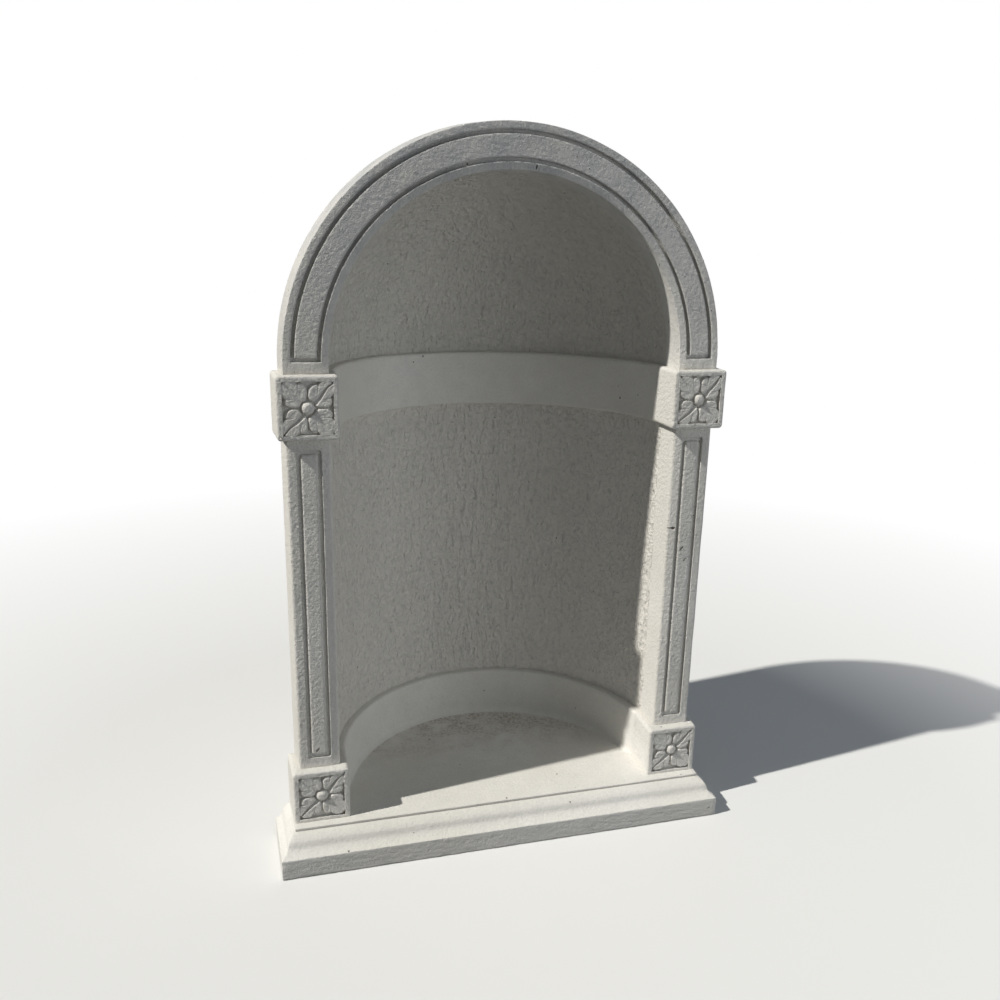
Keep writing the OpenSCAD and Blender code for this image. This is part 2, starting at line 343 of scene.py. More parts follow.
def cast_stone(name, grain_rise, dirt_and_shade=0.25, speckles=False, weather_and_shade=0.0):
    """Sandy cast stone with a few pores, and with dirt and painted shade in its corners; on request with
    brown speckles behind, or grey weathering and painted shade towards the top.
    """
    finish, tree, shader, place = stone_nodes(name)
    clouds = between(tree, noise(tree, place, CLOUD_SIZE, 3), 0.35, 0.68)
    blotches = between(tree, noise(tree, place, BLOTCH_SIZE, 5, 0.65), 0.42, 0.72)
    sand = noise(tree, place, SAND_GRAIN_SIZE, 2, 0.6)
    grain = noise(tree, place, GRAIN_SIZE, 3, 0.65)
    pits = pores(tree, place, PORE_CELL, PORE_SHARE, seed=3.1)
    colour = tint(tree, clouds, STONE_CREAM, STONE_PALE)
    colour = tint(tree, times(tree, blotches, BLOTCH_TINT), colour, STONE_GREY)
    specks = between(tree, sand, 0.44, 0.66)
    colour = tint(tree, times(tree, specks, SAND_GRAIN_TINT), colour, STONE_GREY)
    hollows = between(tree, grain, 0.52, 0.30)
    colour = tint(tree, times(tree, hollows, GRAIN_TINT * grain_rise), colour, GRAIN_GREY)
    # Grey-blue patches growing towards the top: partly rain weathering, partly painted shade
    if weather_and_shade:
        stains_and_shade = between(tree, noise(tree, place, STAIN_AND_SHADE_SIZE, 5, 0.7), 0.25, 0.72)
        stains_and_shade = times(tree, stains_and_shade, share_along(tree, place, "Z", STAIN_AND_SHADE_FOOT, STAIN_AND_SHADE_TOP))
        colour = tint(tree, times(tree, stains_and_shade, weather_and_shade), colour, WEATHER_AND_SHADE_BLUE)
    if speckles:
        dots = between(tree, noise(tree, place, SPECKLE_SIZE, 5, 0.8), 0.42, 0.60)
        drifts = between(tree, noise(tree, place, DRIFT_SIZE, 4, 0.6), 0.38, 0.56)
        inside = times(tree, share_along(tree, place, "Z", floor_top - 4 * NEAR, floor_top - NEAR),
                       share_along(tree, place, "Y", SPECKLE_NEAR, SPECKLE_FAR))
        dust = times(tree, times(tree, dots, drifts), inside)
        colour = tint(tree, times(tree, dust, SPECKLE_TINT), colour, SPECKLE_BROWN)
    # Dirt and painted shade darken the corners and crevices
    colour = tint(tree, times(tree, crevice_dirt_and_shade(tree, CREVICE_REACH), dirt_and_shade), colour, STONE_DIRT_AND_SHADE)
    colour = tint(tree, times(tree, pits, PORE_TINT), colour, PORE_DARK)
    tree.links.new(colour, shader.inputs["Base Color"])
    shader.inputs["Roughness"].default_value = STONE_ROUGHNESS
    bump(tree, shader, [(grain, grain_rise), (sand, SAND_GRAIN_SHARE * grain_rise),
                        (times(tree, pits, -1.0), PORE_DEPTH)])
    return finish


def dress(piece, finish, slot, *nodes):
    """Give a piece its finish, hide the CAD pieces it stands for and hang it under the root body."""
    piece.data.materials.clear()
    piece.data.materials.append(finish)
    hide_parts(*nodes)
    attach(piece, "root")


slab_low, slab_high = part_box("plinth_slab")
moulding_low, moulding_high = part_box("plinth_moulding")
frame_back = moulding_high.y
floor_top = moulding_high.z
block_low, block_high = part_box("right_base_block")
top_x = block_high.x - SIDE_DRAFT + LEDGE_SIDE
top_y = block_low.y - LEDGE_FRONT
fascia_x, fascia_y = slab_high.x - SIDE_DRAFT, slab_low.y
plinth = box_between("plinth_casting", (-fascia_x, fascia_y, 0), (fascia_x, frame_back, moulding_low.z))
draw_out(1, fascia_x)
draw_out(-1, fascia_x)
faces_towards((0, 0, 1))
ogee_rise = moulding_high.z - moulding_low.z - FILLET_HEIGHT - QUIRK_HEIGHT
last_x, last_y, last_z = fascia_x, fascia_y, 0.0


def step_in(next_x, next_y, next_z):
    """Carry the top of the plinth one step in and up, with its back edge held in its plane."""
    global last_x, last_y, last_z
    bpy.ops.mesh.extrude_region_move(TRANSFORM_OT_translate={"value": (0, 0, next_z - last_z)})
    narrower = (next_x / last_x, (frame_back - next_y) / (frame_back - last_y), 1)
    bpy.ops.transform.resize(value=narrower, center_override=(0, frame_back, 0))
    last_x, last_y, last_z = next_x, next_y, next_z


def cyma(along):
    """S curve of two quarter circles over a unit run and a unit rise."""
    if along < 0.5:
        return (1 - math.sqrt(1 - 4 * along * along)) / 2
    return (1 + math.sqrt(1 - 4 * (1 - along) * (1 - along))) / 2


for i in range(1, OGEE_STEPS + 1):
    along = i / OGEE_STEPS
    step_in(fascia_x + (top_x + FILLET_STEP - fascia_x) * along,
            fascia_y + (top_y - FILLET_STEP - fascia_y) * along,
            ogee_rise * (OGEE_SLOPE_SHARE * along + (1 - OGEE_SLOPE_SHARE) * cyma(along)))
quirk_back = top_y + QUIRK_DEPTH
step_in(top_x, quirk_back, ogee_rise + QUIRK_SLOPE_SHARE * QUIRK_HEIGHT)
step_in(top_x, quirk_back, ogee_rise + (1 - QUIRK_SLOPE_SHARE) * QUIRK_HEIGHT)
step_in(top_x, top_y, ogee_rise + QUIRK_HEIGHT)
step_in(top_x, top_y, ogee_rise + QUIRK_HEIGHT + FILLET_HEIGHT)


def shows(ends):
    """Whether an edge of the plinth is in sight: neither at the back nor deep in the quirk."""
    behind = all(p.y > frame_back - TOUCH for p in ends)
    in_quirk = all(abs(p.y - quirk_back) < TOUCH for p in ends)
    return not behind and not in_quirk


sharp_edges(lambda ends: all(p.z > moulding_low.z + NEAR for p in ends) and shows(ends), degrees=40)
round_over(MOULDING_ROUND, segments=2)
sharp_edges(lambda ends: all(p.z < moulding_low.z + NEAR for p in ends) and shows(ends), degrees=25)
round_over(FASCIA_ROUND, segments=3)
cross_cuts(0, SAND_CUTS)
cross_cuts(2, SAND_CUTS)
close(plinth)
sand_face(plinth, fascia_y)
below_floor = group_where(plinth, "front", lambda p: p.z < floor_top - NEAR / 2)
uneven(plinth, CASTING_WAVE, CASTING_WAVE_RISE, below_floor)
# The place, size and slant of each chip
PLINTH_CHIPS = [((0.3798, fascia_y, 0.0157), (0.009, 0.004, 0.0035), -0.7),
                ((0.3500, top_y - 0.004, 0.0585), (0.010, 0.004, 0.0012), -0.5)]
for place, size, slant in PLINTH_CHIPS:
    chip(plinth, place, size, slant)
smooth_stone = cast_stone("smooth_cast_stone", grain_rise=0.0012)
dress(plinth, smooth_stone, "cast_stone", "plinth_slab", "plinth_moulding")

# Floor of the recess
# The half-round slab behind the moulded course, of the same stone, cast with it and
# trowelled smooth. Dust and rain leave brown speckles towards the wall.
FLOOR_SIDES = 256
SPECKLE_BROWN = (0.36, 0.29, 0.21)
SPECKLE_SIZE = 0.006
SPECKLE_TINT = 0.85
SPECKLE_NEAR, SPECKLE_FAR = 0.12, 0.25
DRIFT_SIZE = 0.06
wall_low, wall_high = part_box("wall_back")
shell_back = wall_high.y
shell_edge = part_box("wall_right")[1].x
axis_y = (shell_back ** 2 - frame_back ** 2 - shell_edge ** 2) / (2 * (shell_back - frame_back))
shell_r = shell_back - axis_y
bpy.ops.object.select_all(action="DESELECT")
bpy.ops.mesh.primitive_cylinder_add(vertices=FLOOR_SIDES, radius=shell_r, depth=floor_top,
                                    location=(0, axis_y, floor_top / 2))
recess_floor = begin("recess_floor")
bpy.ops.mesh.select_all(action="SELECT")
bpy.ops.mesh.bisect(plane_co=(0, frame_back, 0), plane_no=(0, 1, 0), clear_inner=True, use_fill=True)
close(recess_floor)
floor_finish = cast_stone("trowelled_floor_stone", grain_rise=0.0010, speckles=True)
dress(recess_floor, floor_finish, "floor_stone", "niche_floor")

# Base blocks
# Square blocks of sandy cast stone that carry the shafts, cast solid with a sunk field
# in the face and edges worn round in the mould, and bedded on the plinth.
BLOCK_ROUND = 0.006
FACE_ROUND = 0.0038
FIELD_INSET = 0.0024
CAD_BORDER = 0.0065
BLOCK_BORDER = CAD_BORDER + FIELD_INSET
BORDER_ROUND = 0.0014
FIELD_DEPTH = 0.007
SEAT = 0.002
BLOCK_WAVE = 0.045
BLOCK_WAVE_RISE = 0.0016


def frame_box(name, node):
    """A frame piece where its CAD node stands, with its outer side drawn out, open for editing."""
    low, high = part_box(node)
    side = 1 if low.x > 0 else -1
    face_x = max(abs(low.x), abs(high.x)) - SIDE_DRAFT
    if side > 0:
        high.x = face_x
    else:
        low.x = -face_x
    piece = box_between(name, low, high)
    draw_out(side, face_x)
    return piece, low, high


def saw(axis, low, high):
    """Cut the faces in sight of the open piece by even planes, so that sand can be pressed into them."""
    unit = Vector([float(i == axis) for i in range(3)])
    count = round((high - low) / SAND_CUTS)
    for i in range(1, count):
        bpy.ops.mesh.select_all(action="SELECT")
        bpy.ops.mesh.bisect(plane_co=unit * (low + (high - low) * i / count), plane_no=unit)


def block(name, node, foot=False):
    """A block with its sunk field, made where its CAD node stands. A foot's lower edges stay square."""
    piece, low, high = frame_box(name, node)

    def in_sight(ends):
        on_floor = foot and all(p.z < low.z + SEAT for p in ends)
        return min(p.y for p in ends) < high.y - SEAT and not on_floor

    sharp_edges(lambda ends: in_sight(ends) and max(p.y for p in ends) > high.y - SEAT)
    round_over(BLOCK_ROUND, segments=4)
    sharp_edges(in_sight, degrees=60)
    round_over(FACE_ROUND, segments=3)
    faces_towards((0, -1, 0))
    bpy.ops.mesh.inset(thickness=BLOCK_BORDER - FACE_ROUND)
    bpy.ops.mesh.extrude_region_move(TRANSFORM_OT_translate={"value": (0, FIELD_DEPTH, 0)})
    sharp_edges(lambda ends: all(abs(p.y - low.y) < NEAR / 2 for p in ends), degrees=60)
    round_over(BORDER_ROUND, segments=3)
    saw(0, low.x, high.x)
    saw(2, low.z, high.z)
    close(piece, degrees=50)
    sand_face(piece, low.y)
    uneven(piece, BLOCK_WAVE, BLOCK_WAVE_RISE)
    return piece


sandy_stone = cast_stone("sandy_cast_stone", grain_rise=0.0024)
for side in ("left", "right"):
    dress(block("base_block_" + side, side + "_base_block", foot=True), sandy_stone, "cast_stone",
          side + "_base_block")

# Skirting
# A smooth curved course of the same stone at the height of the base blocks, cast with the
# floor, with a rounded top edge and a soft cove where it meets the floor.
COURSE_STEPS = 160
COURSE_ROUND = 0.005
COURSE_CUTS = 24
COVE = 0.010
COVE_FADE = 0.03
opening_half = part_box("right_shaft")[0].x
straight_depth = frame_back - axis_y
wall_r = math.hypot(opening_half, straight_depth)
band_r = math.hypot(block_low.x, straight_depth)


def course_section(name, inner_r, low, high):
    """The upright section of a round course at its right-hand end, open for editing."""
    bpy.ops.object.select_all(action="DESELECT")
    bpy.ops.mesh.primitive_plane_add(size=1, location=((inner_r + shell_r) / 2, axis_y, (low + high) / 2),
                                     rotation=(math.pi / 2, 0, 0))
    section = bpy.context.active_object
    section.scale = (shell_r - inner_r, high - low, 1)
    return begin(name)


def turn_course(piece, inner_r, cuts, steps):
    """Cut the inner edge of a section up and turn it round the axis of the recess."""
    pick("EDGE", lambda ends, _: all(abs(p.x - inner_r) < NEAR / 2 for p in ends))
    bpy.ops.mesh.subdivide(number_cuts=cuts)
    bpy.ops.mesh.select_all(action="SELECT")
    bpy.ops.mesh.spin(steps=steps, angle=-math.pi, center=(0, axis_y, 0), axis=(0, 0, 1))
    bpy.ops.mesh.select_all(action="SELECT")
    bpy.ops.mesh.remove_doubles(threshold=TOUCH)
    bpy.ops.mesh.bisect(plane_co=(0, frame_back, 0), plane_no=(0, 1, 0), clear_inner=True, use_fill=True)


def round_corner(inner_r, level):
    """Round the inner corner of an open section at a level."""
    pick("VERT", lambda corner, _: (corner[0] - Vector((inner_r, axis_y, level))).length < NEAR)
    bpy.ops.mesh.bevel(offset=COURSE_ROUND, segments=5, affect="VERTICES")


def ramp(value, start, run):
    """0 up to a start, and 1 from a run further on."""
    return min(1.0, max(0.0, (value - start) / run))


skirting_low, skirting_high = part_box("skirting_back")
skirting = course_section("skirting", band_r, skirting_low.z - SEAT, skirting_high.z)
round_corner(band_r, skirting_high.z)
turn_course(skirting, band_r, COURSE_CUTS, COURSE_STEPS)
close(skirting)
for vertex in skirting.data.vertices:
    out = Vector((vertex.co.x, vertex.co.y - axis_y, 0))
    lift = max(0.0, vertex.co.z - floor_top)
    if out.length < wall_r and lift < COVE:
        toe = COVE - math.sqrt(COVE ** 2 - (COVE - lift) ** 2)
        vertex.co -= out.normalized() * toe * ramp(vertex.co.y, frame_back, COVE_FADE)
dress(skirting, smooth_stone, "cast_stone", "skirting_right", "skirting_back", "skirting_left")

# Shafts
# Upright posts of sandy cast stone, bedded between the blocks. A groove cast into the
# face leaves a flush panel, and the front edge at the opening is worn back.
SHAFT_ROUND = 0.0042
EDGE_WEAR = 0.0028
SHAFT_WAVE = 0.09
SHAFT_BORDER = 0.015
PANEL_END = 0.018
GROOVE_WIDTH = 0.0062
GROOVE_DEPTH = 0.0045
RIM_ROUND = 0.0010
PANEL_ROUND = 0.0030
CORNER_ROUND = 0.004


def wear_edge(piece, depth, nearness):
    """Lean the front of a piece back down to a depth, by how near each corner is to the worn edge."""
    for vertex in piece.data.vertices:
        near = nearness(vertex.co)
        if near > 0 and vertex.co.y < depth:
            vertex.co.y += EDGE_WEAR * near


def shaft(name, node):
    """A panelled shaft, made where its CAD node stands."""
    piece, low, high = frame_box(name, node)
    faces_towards((0, -1, 0))
    bpy.ops.mesh.inset(thickness=SHAFT_BORDER)
    tall = high.z - low.z
    bpy.ops.transform.resize(value=(1, 1, (tall - 2 * PANEL_END) / (tall - 2 * SHAFT_BORDER)),
                             center_override=((low.x + high.x) / 2, 0, (low.z + high.z) / 2))
    bpy.ops.mesh.inset(thickness=GROOVE_WIDTH)
    panel = [low.x + SHAFT_BORDER + GROOVE_WIDTH, high.x - SHAFT_BORDER - GROOVE_WIDTH,
             low.z + PANEL_END + GROOVE_WIDTH, high.z - PANEL_END - GROOVE_WIDTH]
    groove = [panel[0] - GROOVE_WIDTH, panel[1] + GROOVE_WIDTH,
              panel[2] - GROOVE_WIDTH, panel[3] + GROOVE_WIDTH]

    def on_rim(point, rim):
        across = rim[0] - TOUCH < point.x < rim[1] + TOUCH
        along = rim[2] - TOUCH < point.z < rim[3] + TOUCH
        return across and along

    def in_groove(corners):
        inside = all(on_rim(p, groove) for p in corners)
        return inside and not all(on_rim(p, panel) for p in corners)

    faces_towards((0, -1, 0), in_groove)
    bpy.ops.mesh.extrude_region_move(TRANSFORM_OT_translate={"value": (0, GROOVE_DEPTH, 0)})
    sharp_edges(lambda ends: abs(ends[0].y - ends[1].y) > GROOVE_DEPTH / 2
                and all(low.x + SHAFT_ROUND < p.x < high.x - SHAFT_ROUND for p in ends), degrees=60)
    round_over(CORNER_ROUND, segments=4)
    sharp_edges(lambda ends: all(p.y < low.y + TOUCH and on_rim(p, panel) for p in ends), degrees=60)
    round_over(PANEL_ROUND, segments=3)
    sharp_edges(lambda ends: all(p.y < low.y + TOUCH and on_rim(p, groove) for p in ends), degrees=60)
    round_over(RIM_ROUND, segments=2)
    sharp_edges(lambda ends: all(p.y < low.y + TOUCH for p in ends)
                and abs(ends[0].x - ends[1].x) < TOUCH
                and not all(on_rim(p, groove) for p in ends), degrees=60)
    round_over(SHAFT_ROUND, segments=4)
    saw(2, low.z, high.z)
    faces_towards((0, -1, 0))
    bpy.ops.mesh.hide(unselected=True)
    saw(0, low.x, high.x)
    bpy.ops.mesh.reveal(select=False)
    close(piece, degrees=40)
    sand_face(piece, low.y)
    inner_x = low.x if low.x > 0 else high.x
    wear_edge(piece, low.y + SHAFT_ROUND + NEAR, lambda p: 1 - abs(p.x - inner_x) / SHAFT_BORDER)
    uneven(piece, SHAFT_WAVE, CASTING_WAVE_RISE)
    return piece


# The place, size and slant of each chip, gouge and crack
SHAFT_CHIPS = {
    "left": [((-0.3269, 0, 0.1927), (0.010, 0.008, 0.0045), -0.8)],
    "right": [((0.3005, 0, 0.5470), (0.008, 0.020, 0.0060), 0.1),
              ((0.2950, 0, 0.5470), (0.014, 0.014, 0.0034), 0.0),
              ((0.3192, 0, 0.5083), (0.010, 0.010, 0.0040), -0.8),
              ((0.3270, 0, 0.4868), (0.008, 0.006, 0.0030), -0.8)],
}
for side in ("left", "right"):
    piece = shaft("shaft_" + side, side + "_shaft")
    for place, size, slant in SHAFT_CHIPS[side]:
        chip(piece, place, size, slant)
    dress(piece, sandy_stone, "cast_stone", side + "_shaft")

# Wall of the recess
# The round wall behind the shafts, a shell of the same stone, rough from the inside of its
# mould: stippled all over, with shallow waves and faint slanting trowel marks.
WALL_GRAIN = 0.0034
WALL_WAVE = 0.05
WALL_WAVE_RISE = 0.0032
WALL_STIPPLE = 0.008
WALL_STIPPLE_RISE = 0.0030
WALL_CREAM = (0.83, 0.80, 0.74)
ROUGH_GREY = (0.60, 0.585, 0.545)
ROUGH_ROUGHNESS = 0.93
ROUGH_CLOUD_SIZE = 0.14
ROUGH_CLOUD_TINT = 0.5
LUMP_SIZE = 0.0085
LUMP_TINT = 0.45
LUMP_RISE = 0.0062
MARK_SIZE = 0.012
MARK_STRETCH = (1, 1, 0.3)
MARK_TURN = (0, 0.8, 0)
MARK_RISE = 0.0100
ROUGH_GRAIN_SIZE = 0.0025
ROUGH_GRAIN_RISE = 0.0010
ROUGH_PORE_CELL = 0.017
ROUGH_PORE_SHARE = 0.14
ROUGH_PORE_DEPTH = 0.002
ROUGH_CREVICE_REACH = 0.012
# Share of dirt and painted shade in the corners of the rough stone
ROUGH_DIRT_AND_SHADE = 0.25
BACK_FADE = 0.010
INNER_LAYER = 0.003
FAR_BELOW = -9
arch_low, arch_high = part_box("arch")
springing = arch_high.z - arch_high.x


def rough_stone(name, cream):
    """Stone with a stippled, trowelled face inside the recess and a plain back."""
    finish, tree, shader, place = stone_nodes(name)
    from_axis = tree.nodes.new("ShaderNodeVectorMath")
    from_axis.operation = "SUBTRACT"
    from_axis.inputs[1].default_value = (0, axis_y, springing)
    tree.links.new(place, from_axis.inputs[0])
    upper = tree.nodes.new("ShaderNodeVectorMath")
    upper.operation = "MAXIMUM"
    upper.inputs[1].default_value = (FAR_BELOW, FAR_BELOW, 0)
    tree.links.new(from_axis.outputs["Vector"], upper.inputs[0])
    reach = tree.nodes.new("ShaderNodeVectorMath")
    reach.operation = "LENGTH"
    tree.links.new(upper.outputs["Vector"], reach.inputs[0])
    inside = between(tree, reach.outputs["Value"], wall_r + 2 * BACK_FADE, wall_r + BACK_FADE)
    clouds = between(tree, noise(tree, place, ROUGH_CLOUD_SIZE, 3), 0.35, 0.68)
    lumps = noise(tree, place, LUMP_SIZE, 3, 0.6, twist=0.5)
    marks = noise(tree, place, MARK_SIZE, 3, 0.6, MARK_STRETCH, MARK_TURN)
    pits = pores(tree, place, ROUGH_PORE_CELL, ROUGH_PORE_SHARE, seed=1.7)
    colour = tint(tree, times(tree, clouds, ROUGH_CLOUD_TINT), cream, STONE_CREAM)
    hollows = between(tree, lumps, 0.50, 0.34)
    colour = tint(tree, times(tree, hollows, LUMP_TINT), colour, ROUGH_GREY)
    # Dirt and painted shade darken the corners and crevices
    corners = crevice_dirt_and_shade(tree, ROUGH_CREVICE_REACH)
    colour = tint(tree, times(tree, corners, ROUGH_DIRT_AND_SHADE), colour, STONE_DIRT_AND_SHADE)
    colour = tint(tree, times(tree, pits, PORE_TINT), colour, PORE_DARK)
    tree.links.new(colour, shader.inputs["Base Color"])
    shader.inputs["Roughness"].default_value = ROUGH_ROUGHNESS
    bump(tree, shader, [(times(tree, lumps, inside), LUMP_RISE), (times(tree, marks, inside), MARK_RISE),
                        (noise(tree, place, ROUGH_GRAIN_SIZE, 3, 0.6), ROUGH_GRAIN_RISE),
                        (times(tree, pits, -1.0), ROUGH_PORE_DEPTH)])
    return finish


def rough_inside(piece, radius, centre_z=None):
    """Press the stipple into the inner face of a round piece and leave its back even."""

    def is_inner(place):
        out = Vector((place.x, place.y - axis_y, 0))
        if centre_z is not None:
            out.z = max(0.0, place.z - centre_z)
        return out.length < radius + INNER_LAYER

    inner = group_where(piece, "inner_face", is_inner)
    uneven(piece, WALL_WAVE, WALL_WAVE_RISE, inner)
    uneven(piece, WALL_STIPPLE, WALL_STIPPLE_RISE, inner)


recess_wall = course_section("recess_wall", wall_r, wall_low.z - SEAT, wall_high.z + SEAT)
turn_course(recess_wall, wall_r, round((wall_high.z - wall_low.z) / WALL_GRAIN),
            round(math.pi * wall_r / WALL_GRAIN))
close(recess_wall)
rough_inside(recess_wall, wall_r)
dress(recess_wall, rough_stone("rough_wall_stone", WALL_CREAM), "rough_stone",
      "wall_right", "wall_back", "wall_left")

# Capital blocks
# The same solid cast-stone blocks on top of the shafts, a little taller and rounded along
# their lower edges too. The arch is bedded on them.
for side in ("left", "right"):
    dress(block("capital_block_" + side, side + "_capital_block"), sandy_stone, "cast_stone",
          side + "_capital_block")

# Impost band
# A smooth cast-stone band round the recess in line with the capital blocks, standing out
# from the rough wall with a rounded edge above and below.
BAND_WAVE = 0.11
BAND_WAVE_RISE = 0.0012
band_low, band_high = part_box("band_back")
band = course_section("impost_band", band_r, band_low.z, band_high.z)
round_corner(band_r, band_high.z)
round_corner(band_r, band_low.z)
turn_course(band, band_r, COURSE_CUTS, COURSE_STEPS)
close(band)
band_face = group_where(band, "inner", lambda p: math.hypot(p.x, p.y - axis_y) < wall_r)
uneven(band, BAND_WAVE, BAND_WAVE_RISE, band_face)
dress(band, smooth_stone, "cast_stone", "band_right", "band_back", "band_left")

# Rosettes
# Four leaves round a domed boss fill each block's field, carved in the mould's model and
# cast with the block. Every leaf is folded along its middle, with a lobe on each side of
# its tip. Two leaves that face each other are more worn than the others.
ROSETTE_CELLS = 160
LEAF_RISE = 0.0064
LEAF_EDGE_SHARE = 0.075
LEAF_ROOT_SHARE = 0.315
TIP_LOBE = {"middle": Vector((0.64, 0.64)), "axis": Vector((1, 1)).normalized(),
            "half_length": 0.49, "half_width": 0.40, "blunt": 3.6}
SIDE_LOBE = {"middle": Vector((0.26, 0.60)), "axis": Vector((0.06, 1)).normalized(),
             "half_length": 0.37, "half_width": 0.26, "blunt": 2.3}
BOSS_SHARE = 0.275
BOSS_RISE = 0.0088
BOSS_BLUNT = 3.2
BOSS_WOBBLE = 0.02
FOLD_SHARE = 0.19
FOLD_LEAST = 0.02
VALLEY_SHARE, WORN_VALLEY_SHARE = 0.78, 0.2
CREASE_WIDTH = 0.05
CREASE_SHARE, WORN_CREASE_SHARE = 0.30, 0.15
DISH_SHARE = 0.10
CARVING_WOBBLE = 0.07
WOBBLE_REACH = 0.6
WOBBLE_SPREAD = 1.6
WOBBLE_APART = 40
CARVER_SEED = 7
CARVING_OVERLAP = 0.0015
CARVING_SKIN = 0.0003
CARVING_GRAIN = 0.0030
CARVING_GRAIN_RISE = 0.0007


def lobe(point, middle, axis, half_length, half_width, blunt):
    """How far a point lies inside the outline of a lobe, or below 0 outside it."""
    along = abs((point - middle).dot(axis)) / half_length
    across = abs((point - middle).cross(axis)) / half_width
    return half_width * (1 - (along ** blunt + across ** blunt) ** (1 / blunt))


def hill(value, middle, reach):
    """1 at a middle, falling to 0 within a reach on both sides."""
    return max(0.0, 1 - abs(value - middle) / reach)


def leaf_height(x, y):
    """Height of the carving as a share of the leaf's rise, on a field from -1 to 1."""
    point = Vector((min(abs(x), abs(y)), max(abs(x), abs(y))))
    tip = lobe(point, **TIP_LOBE)
    side = lobe(point, **SIDE_LOBE)
    inside = min(max(tip, side), 2 * (point.length - LEAF_ROOT_SHARE))
    if inside <= 0:
        return 0.0
    edge = 1 - min(1.0, inside / LEAF_EDGE_SHARE)
    worn = x * y < 0
    crease = hill(tip, side, CREASE_WIDTH) * ramp(point.y, 0.5, 0.25)
    dish = hill(point.x, 0.26, 0.10) * hill(point.y, 0.62, 0.2)
    reach = (point.x + point.y) / 2
    fold = FOLD_SHARE * (1.25 - reach) * (1.08 - 0.62 * reach)
    off_fold = (point.y - point.x) / math.sqrt(2)
    valley = (WORN_VALLEY_SHARE if worn else VALLEY_SHARE) * hill(off_fold, 0, max(fold, FOLD_LEAST))
    crease *= WORN_CREASE_SHARE if worn else CREASE_SHARE
    return math.sqrt(1 - edge * edge) * (1 - crease - DISH_SHARE * dish) * (1 - valley)


def rosette(name, node):
    """The carved relief of one block's field, with the unsteady hand of its carver."""
    low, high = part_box(node)
    middle = (low + high) / 2
    half = (high - low) / 2 - Vector((FIELD_INSET, 0, FIELD_INSET))
    bpy.ops.object.select_all(action="DESELECT")
    bpy.ops.mesh.primitive_grid_add(x_subdivisions=ROSETTE_CELLS, y_subdivisions=ROSETTE_CELLS, size=2,
                                    location=(middle.x, high.y, middle.z), rotation=(math.pi / 2, 0, 0))
    bpy.context.active_object.scale = (half.x + CARVING_OVERLAP, half.z + CARVING_OVERLAP, 1)
    piece = begin(name)
    bpy.ops.object.mode_set(mode="OBJECT")
    for vertex in piece.data.vertices:
        x = (vertex.co.x - middle.x) / half.x
        y = (vertex.co.z - middle.z) / half.z
        drift = noise_vector(WOBBLE_APART * middle + WOBBLE_SPREAD * Vector((x, 0, y)))
        wobble = CARVING_WOBBLE * min(1.0, math.hypot(x, y) / WOBBLE_REACH)
        rise = LEAF_RISE * leaf_height(x + wobble * drift.x, y + wobble * drift.y)
        boss = math.hypot(x + BOSS_WOBBLE * drift.x, y + BOSS_WOBBLE * drift.y) / BOSS_SHARE
        if boss < 1:
            rise = BOSS_RISE * (1 - boss ** BOSS_BLUNT) ** 0.5
        vertex.co.y = high.y - CARVING_SKIN - rise
    soften = piece.modifiers.new("soften", "SMOOTH")
    soften.factor = 0.5
    soften.iterations = 2
    bpy.ops.object.modifier_apply(modifier=soften.name)
    bpy.ops.object.shade_smooth()
    uneven(piece, CARVING_GRAIN, CARVING_GRAIN_RISE)
    return piece


seed_set(CARVER_SEED)
# The carving takes less dirt and painted shade in its hollows than the plain stone
carved_stone = cast_stone("carved_cast_stone", grain_rise=0.0024, dirt_and_shade=0.15)
for course in ("base", "capital"):
    for side in ("left", "right"):
        node = side + "_" + course + "_rosette"
        dress(rosette(course + "_rosette_" + side, node), carved_stone, "carved_stone", node)

# Arch
# A round ring of the same stone on short straight feet over the capital blocks, cast in one
# piece, with the shafts' groove and flush panel carried round its face. Towards the top it is
# painted grey-blue, partly as rain weathering and partly as painted shade.
ARCH_STEPS = 360
ARCH_BORDER = 0.0115
ARCH_ROUND = 0.004
ARCH_RIM_ROUND = 0.0012
ARCH_GROOVE_DEPTH = 0.0075
RIM_PAD = 0.005
CRACK_PLACE = (0.0289, 0, 1.1345)
CRACK_SIZE = (0.0030, 0.012, 0.008)
CRACK_SLANT = 0.2
# Grey-blue of the weathering and of the painted shade at the arch's top
WEATHER_AND_SHADE_BLUE = (0.40, 0.42, 0.45)
STAIN_AND_SHADE_SIZE = 0.05
STAIN_AND_SHADE_FOOT, STAIN_AND_SHADE_TOP = 0.70, 1.17
arch_r = arch_high.x - SIDE_DRAFT
rings = [opening_half, opening_half + ARCH_BORDER, opening_half + ARCH_BORDER + GROOVE_WIDTH,
         arch_r - ARCH_BORDER - GROOVE_WIDTH, arch_r - ARCH_BORDER, arch_r]
groove_foot = arch_low.z + PANEL_END
bpy.ops.object.select_all(action="DESELECT")
middle_r = (rings[0] + rings[-1]) / 2
bpy.ops.mesh.primitive_plane_add(size=1, location=(middle_r, frame_back / 2, arch_low.z))
bpy.context.active_object.scale = (rings[-1] - rings[0], frame_back, 1)
arch = begin("arch_ring")
draw_out(1, arch_r)
